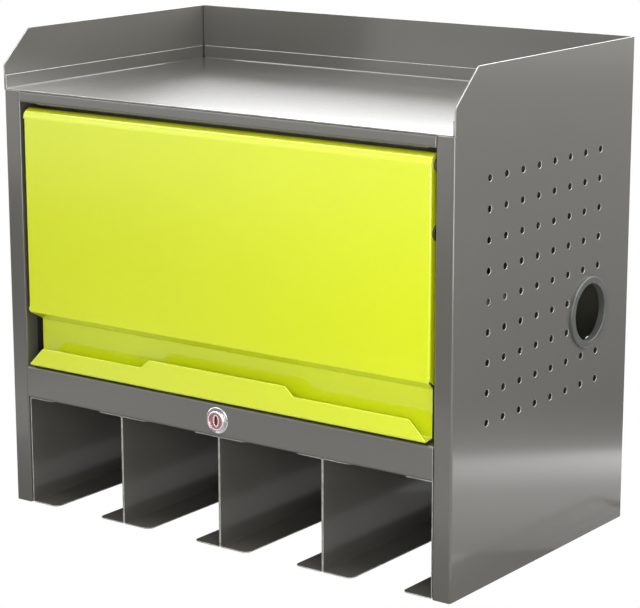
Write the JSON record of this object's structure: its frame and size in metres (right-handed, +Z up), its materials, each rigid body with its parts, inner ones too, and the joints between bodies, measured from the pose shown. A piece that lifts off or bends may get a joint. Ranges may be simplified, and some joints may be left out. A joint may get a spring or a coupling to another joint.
{
  "type": "wall-mounted tool cabinet",
  "caption": "Wall-mounted sheet-steel tool cabinet: flip-up door with a pull lip, open tray on top, hanging tool bays below, perforated sides with cable ports, cam lock in the lower rail.",
  "frame": {"origin": "centre of the wall holes, on the rear face of the back panel", "axes": "+Z up, +Y into the wall, so the door faces -Y, +X to the right seen from the front"},
  "size_m": [0.486, 0.2878, 0.436],
  "materials": {
    "case_paint": "semi-gloss powder coat, dark grey",
    "door_paint": "gloss powder coat, lime green",
    "grommet_rubber": "satin black",
    "lock_chrome": "bright plated",
    "lock_plug_metal": "reddish bronze, turned",
    "zinc_steel": "zinc plated",
    "black_steel": "black stoved steel",
    "bush_plastic": "black nylon"
  },
  "bodies": {
    "cabinet": {"back_panel": "case_paint", "bay_channel_1_left": "case_paint", "bay_channel_1_right": "case_paint", "bay_channel_2_left": "case_paint", "bay_channel_2_right": "case_paint", "bay_channel_3_left": "case_paint", "bay_channel_3_right": "case_paint", "bay_channel_end_left": "case_paint", "bay_channel_end_right": "case_paint", "cable_grommet_left": "grommet_rubber", "cable_grommet_right": "grommet_rubber", "floor_panel": "case_paint", "hinge_bush_left": "bush_plastic", "hinge_bush_right": "bush_plastic", "lock_housing": "lock_chrome", "lock_nut": "zinc_steel", "lock_washer": "zinc_steel", "side_panel_left": "case_paint", "side_panel_right": "case_paint", "stay_bracket_left": "black_steel", "stay_bracket_right": "black_steel", "top_panel": "case_paint", "tray": "case_paint"},
    "door": {"door_panel": "door_paint", "lock_strike": "door_paint", "hinge_clip_left": "zinc_steel", "hinge_clip_right": "zinc_steel", "hinge_pin_left": "zinc_steel", "hinge_pin_right": "zinc_steel", "stay_rivet_left": "black_steel", "stay_rivet_right": "black_steel"},
    "stay_left": {"stay_arm_left": "black_steel", "stay_pin_left": "black_steel"},
    "stay_right": {"stay_arm_right": "black_steel", "stay_pin_right": "black_steel"},
    "lock_core": {"lock_plug": "lock_plug_metal", "lock_cam": "zinc_steel", "cam_screw": "zinc_steel"}
  },
  "joints": [
    {"name": "door_hinge", "type": "hinge", "parent": "cabinet", "child": "door", "pos_m": [0, -0.2748, 0.1095], "axis": [-1, 0, 0], "range_deg": [0, 90]},
    {"name": "stay_left_pivot", "type": "hinge", "parent": "door", "child": "stay_left", "pos_m": [-0.2193, -0.2748, 0.0545], "axis": [1, 0, 0], "range_deg": [0, 90]},
    {"name": "stay_right_pivot", "type": "hinge", "parent": "door", "child": "stay_right", "pos_m": [0.2193, -0.2748, 0.0545], "axis": [1, 0, 0], "range_deg": [0, 90]},
    {"name": "lock_turn", "type": "hinge", "parent": "cabinet", "child": "lock_core", "pos_m": [0, -0.2838, -0.13435], "axis": [0, 1, 0], "range_deg": [0, 90]}
  ],
  "couplings": [
    {"joint": "stay_left_pivot", "follows": "door_hinge", "ratio": 1},
    {"joint": "stay_right_pivot", "follows": "door_hinge", "ratio": 1}
  ]
}
